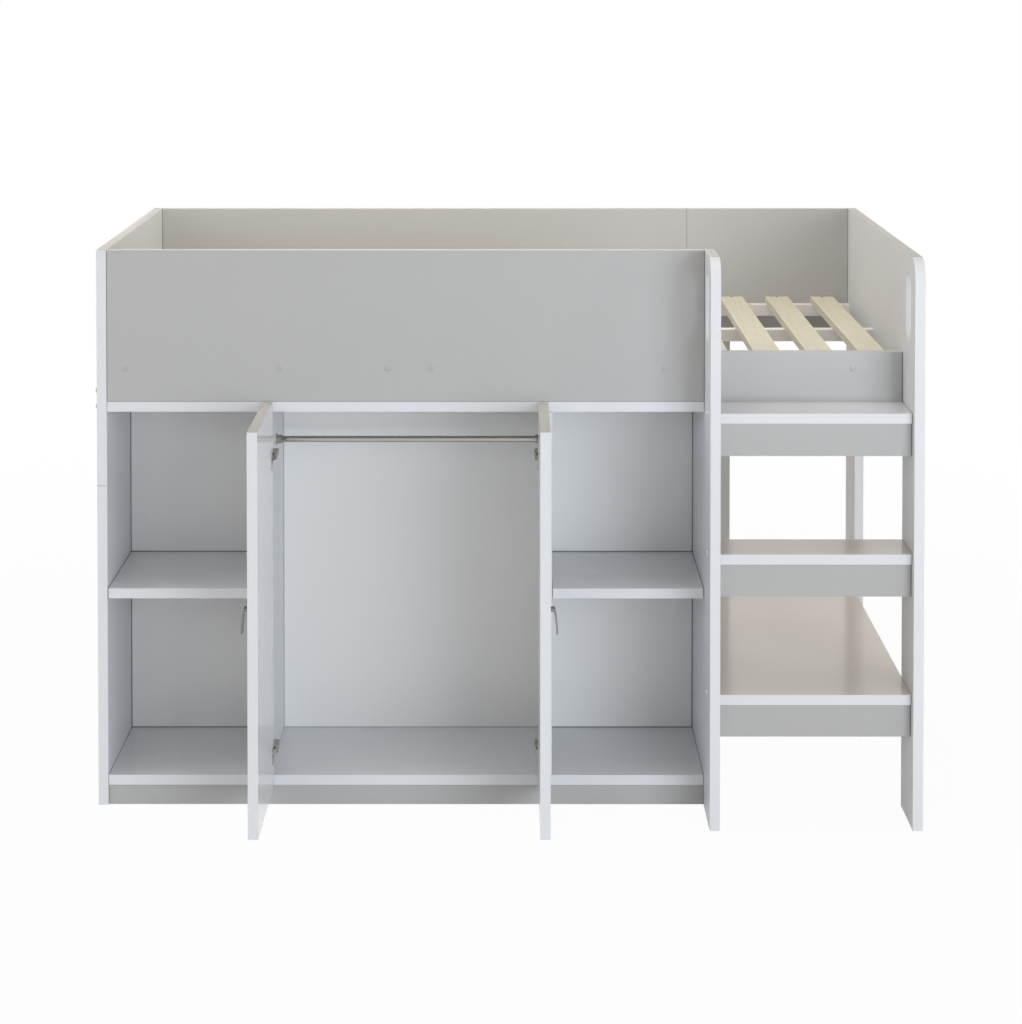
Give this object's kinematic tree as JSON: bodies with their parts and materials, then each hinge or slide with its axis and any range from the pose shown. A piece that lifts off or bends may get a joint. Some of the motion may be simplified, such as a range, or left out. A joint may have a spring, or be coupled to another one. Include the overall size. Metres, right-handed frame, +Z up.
{
  "type": "loft bed",
  "caption": "Mid-height loft bed of white and grey boards: slatted bed with guards over a wardrobe with two hinged doors and open side shelves, and a step stair at the right end.",
  "frame": {"origin": "on the floor, half way along the bed, in the middle of the plinth board's underside", "axes": "+X along the bed towards the stair, +Y to the rear, +Z up"},
  "size_m": [2.068, 1.351, 1.412],
  "materials": {
    "white_board": "smooth foil on board",
    "grey_board": "smooth foil on board",
    "pine_slats": "planed, unfinished",
    "white_wood": "painted white",
    "grey_caps": "moulded",
    "zinc_fittings": "zinc plated",
    "chrome_rail": "polished",
    "handle_metal": "satin",
    "hinge_steel": "nickel plated",
    "white_sheet": "foil on hardboard"
  },
  "bodies": {
    "frame": {"left_end_lower": "white_board", "left_end_upper": "white_board", "middle_upright": "white_board", "right_end_panel": "white_board", "front_guard": "grey_board", "entry_rail": "grey_board", "rear_guard_long": "grey_board", "rear_guard_short": "grey_board", "rear_leg": "grey_board", "cabinet_top": "white_board", "cabinet_bottom": "white_board", "plinth": "grey_board", "left_divider": "white_board", "right_divider": "white_board", "left_shelf": "white_board", "right_shelf": "white_board", "left_back": "white_sheet", "wardrobe_back": "white_sheet", "right_back": "white_sheet", "top_tread": "white_board", "middle_tread": "white_board", "bottom_tread": "white_board", "top_riser": "grey_board", "middle_riser": "grey_board", "bottom_riser": "grey_board", "front_cleat": "white_wood", "entry_cleat": "white_wood", "rear_cleat": "white_wood", "centre_rail": "white_wood", "slats": "pine_slats", "frame_bolts": "zinc_fittings", "cover_caps": "grey_caps", "shelf_pins": "zinc_fittings", "hanging_rail": "chrome_rail", "rail_sockets": "chrome_rail", "left_hinge_plates": "hinge_steel", "left_hinge_arms": "hinge_steel", "left_arm_pins": "hinge_steel", "right_hinge_plates": "hinge_steel", "right_hinge_arms": "hinge_steel", "right_arm_pins": "hinge_steel"},
    "left_hinge_link": {"left_links": "hinge_steel"},
    "left_leaf": {"left_door": "white_board", "left_handle": "handle_metal", "left_cups": "hinge_steel", "left_cup_pins": "hinge_steel"},
    "right_hinge_link": {"right_links": "hinge_steel"},
    "right_leaf": {"right_door": "white_board", "right_handle": "handle_metal", "right_cups": "hinge_steel", "right_cup_pins": "hinge_steel"}
  },
  "joints": [
    {"name": "left_link_turn", "type": "hinge", "parent": "frame", "child": "left_hinge_link", "pos_m": [-0.5807, -0.00814, 0.5145], "axis": [0, 0, 1], "range_deg": [-41, 3]},
    {"name": "left_door_turn", "type": "hinge", "parent": "left_hinge_link", "child": "left_leaf", "pos_m": [-0.589, -0.0345, 0.5145], "axis": [0, 0, 1], "range_deg": [-7.2, 130]},
    {"name": "right_link_turn", "type": "hinge", "parent": "frame", "child": "right_hinge_link", "pos_m": [0.0807, -0.00814, 0.5145], "axis": [0, 0, -1], "range_deg": [-41, 3]},
    {"name": "right_door_turn", "type": "hinge", "parent": "right_hinge_link", "child": "right_leaf", "pos_m": [0.089, -0.0345, 0.5145], "axis": [0, 0, -1], "range_deg": [-7.2, 130]}
  ],
  "couplings": [
    {"joint": "left_link_turn", "follows": "left_door_turn", "ratio": -0.30769},
    {"joint": "right_link_turn", "follows": "right_door_turn", "ratio": -0.30769}
  ]
}
